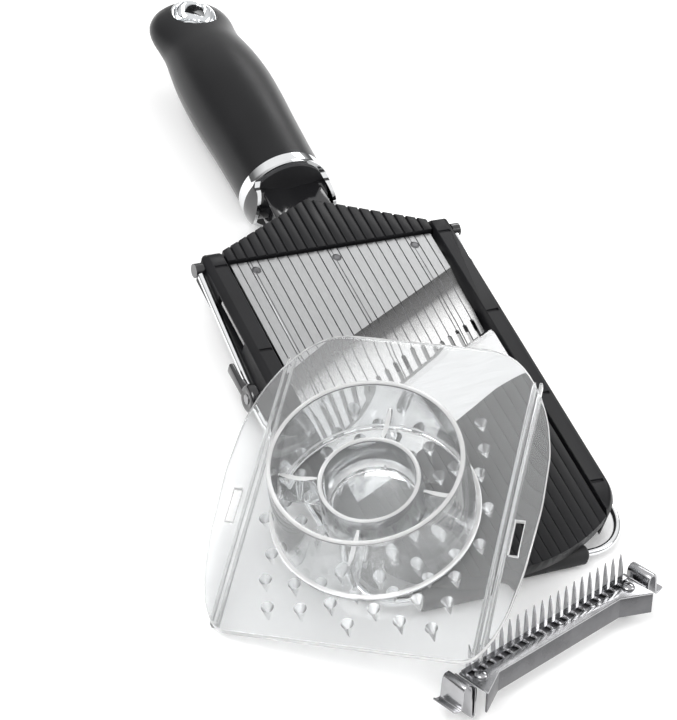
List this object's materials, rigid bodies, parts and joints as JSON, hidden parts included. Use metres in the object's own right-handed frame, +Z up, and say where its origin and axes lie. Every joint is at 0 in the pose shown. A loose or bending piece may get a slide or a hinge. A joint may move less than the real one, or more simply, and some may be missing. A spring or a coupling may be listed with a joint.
{
  "type": "mandoline slicer",
  "caption": "Hand-held mandoline slicer with a folding wire stand, tilting steel ramp, slanted blade, soft handle, clear hand guard and a loose julienne cutter.",
  "frame": {"origin": "centre of the bounding box, at the height of the surface everything lies on", "axes": "+X to the right across the slicer, +Y towards the handle end, +Z up"},
  "size_m": [0.1818, 0.4008, 0.076],
  "materials": {
    "black_plastic": "moulded, fine matt grain",
    "gloss_black_plastic": "moulded, polished",
    "soft_grip": "soft-touch, satin",
    "core_plastic": "moulded, plain",
    "bright_chrome": "polished plate",
    "blade_steel": "ground and polished",
    "satin_steel": "satin, fine lengthwise grain",
    "spring_steel": "tumbled, softly shining",
    "clear_plastic": "clear moulded plastic",
    "foot_rubber": "plain"
  },
  "bodies": {
    "slicer_frame": {"left_rail": "black_plastic", "right_rail": "black_plastic", "yoke_plate": "black_plastic", "neck_tang": "gloss_black_plastic", "neck_lugs": "gloss_black_plastic", "ferrule_ring": "bright_chrome", "handle_core": "core_plastic", "grip_upper": "soft_grip", "grip_lower": "soft_grip", "hang_hole_liner": "bright_chrome", "landing_plate": "black_plastic", "blade_bed": "black_plastic", "slicing_blade": "blade_steel", "blade_screws": "satin_steel", "cross_member": "black_plastic", "ramp_hinge_pin": "satin_steel"},
    "ramp": {"ramp_plate": "satin_steel", "ramp_carrier": "black_plastic", "ramp_rivets": "satin_steel"},
    "thickness_setting": {"cam_shaft": "satin_steel", "thickness_cams": "black_plastic", "thickness_lever": "gloss_black_plastic"},
    "stand": {"stand_wire": "bright_chrome", "left_stand_hub": "gloss_black_plastic", "right_stand_hub": "gloss_black_plastic", "foot_sleeve": "foot_rubber"},
    "hand_guard": {"guard_plate": "clear_plastic", "guard_ring": "clear_plastic", "guard_cup": "clear_plastic", "guard_webs": "clear_plastic", "guard_spikes": "clear_plastic"},
    "julienne_cutter": {"julienne_bar": "spring_steel", "julienne_tines": "blade_steel", "left_clip": "spring_steel", "right_clip": "spring_steel", "julienne_rivets": "spring_steel"}
  },
  "joints": [
    {"name": "thickness_turn", "type": "hinge", "parent": "slicer_frame", "child": "thickness_setting", "pos_m": [0.02897, -0.03436, 0.01644], "axis": [1, 0, 0], "range_deg": [0, 100]},
    {"name": "ramp_tilt", "type": "hinge", "parent": "slicer_frame", "child": "ramp", "pos_m": [0.02897, 0.02341, 0.0218], "axis": [-1, 0, 0], "range_deg": [0, 1.83]},
    {"name": "stand_unfold", "type": "hinge", "parent": "slicer_frame", "child": "stand", "pos_m": [0.02897, 0.03321, 0.02491], "axis": [1, 0, 0], "range_deg": [0, 105]},
    {"name": "guard_lift", "type": "slide", "parent": "slicer_frame", "child": "hand_guard", "axis": [0, 0, 1], "range_m": [0, 0.12]},
    {"name": "cutter_lift", "type": "slide", "parent": "slicer_frame", "child": "julienne_cutter", "axis": [0, -0.7071, 0.7071], "range_m": [0, 0.1]}
  ],
  "couplings": [
    {"joint": "ramp_tilt", "follows": "thickness_turn", "ratio": 0.0183}
  ]
}
